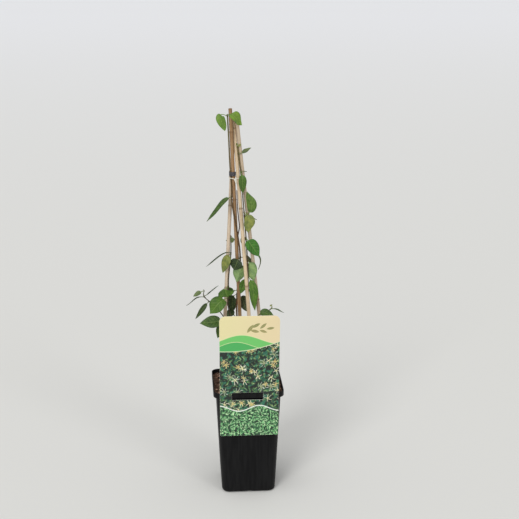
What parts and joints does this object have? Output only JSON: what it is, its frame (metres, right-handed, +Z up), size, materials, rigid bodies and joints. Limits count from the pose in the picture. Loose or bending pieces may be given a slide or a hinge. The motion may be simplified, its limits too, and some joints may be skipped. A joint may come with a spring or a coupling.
{
  "type": "potted climbing plant",
  "caption": "Young honeysuckle vine twining up a pyramid of tied bamboo canes in a tall square black nursery pot, with a hooked picture label on the rim.",
  "frame": {"origin": "the middle of the pot's underside, on the surface it stands on", "axes": "+Z up along the canes, -Y to the front where the label hangs, +X to the right of a viewer in front"},
  "size_m": [0.1532, 0.1111, 0.6092],
  "materials": {
    "pot_plastic": "satin black moulded plastic with faint vertical flow marks",
    "potting_soil": "moist peat with reddish-brown bark crumbs",
    "label_card": "coated printed card, beige head, dark foliage picture",
    "bamboo": "dry pale bamboo with low nodes and a cut top",
    "bamboo_brown": "weathered brown bamboo",
    "tie_wire": "cream plastic-coated wire",
    "band_rubber": "dull dark grey band",
    "stem_bark": "thin reddish-brown bark, green at the young tips",
    "leaf_green": "thin semi-gloss leaf with a lighter midrib and a pale underside"
  },
  "bodies": {
    "root": {"cane_back": "bamboo_brown", "cane_front": "bamboo", "cane_left": "bamboo", "cane_right": "bamboo", "grey_band": "band_rubber", "label": "label_card", "leaf_arc_left": "leaf_green", "leaf_behind_cane": "leaf_green", "leaf_behind_cane_back": "leaf_green", "leaf_blue_left": "leaf_green", "leaf_blue_right": "leaf_green", "leaf_bright_back": "leaf_green", "leaf_bright_right": "leaf_green", "leaf_broad_left": "leaf_green", "leaf_broad_right": "leaf_green", "leaf_green_left": "leaf_green", "leaf_green_right": "leaf_green", "leaf_hidden_left": "leaf_green", "leaf_hidden_right": "leaf_green", "leaf_long_left": "leaf_green", "leaf_low_dark_left": "leaf_green", "leaf_low_dark_right": "leaf_green", "leaf_low_left": "leaf_green", "leaf_low_right": "leaf_green", "leaf_mid_back": "leaf_green", "leaf_mid_hanging": "leaf_green", "leaf_mid_raised": "leaf_green", "leaf_olive_left": "leaf_green", "leaf_pale_left": "leaf_green", "leaf_pale_right": "leaf_green", "leaf_right_dark": "leaf_green", "leaf_right_dome": "leaf_green", "leaf_right_thin": "leaf_green", "leaf_right_tip": "leaf_green", "leaf_shoot_arc": "leaf_green", "leaf_shoot_dark": "leaf_green", "leaf_shoot_grey": "leaf_green", "leaf_shoot_hanging": "leaf_green", "leaf_shoot_low": "leaf_green", "leaf_shoot_thin": "leaf_green", "leaf_small_back": "leaf_green", "leaf_small_dark": "leaf_green", "leaf_tie_back": "leaf_green", "leaf_tie_front": "leaf_green", "leaf_tip_left": "leaf_green", "leaf_tip_right": "leaf_green", "leaf_top_left": "leaf_green", "leaf_top_right": "leaf_green", "leaf_upper_right": "leaf_green", "pot": "pot_plastic", "shoot_left": "stem_bark", "shoot_right": "stem_bark", "soil": "potting_soil", "stem_branch": "stem_bark", "stem_front": "stem_bark", "stem_left": "stem_bark", "stem_main": "stem_bark", "twist_tie": "tie_wire"}
  },
  "joints": []
}
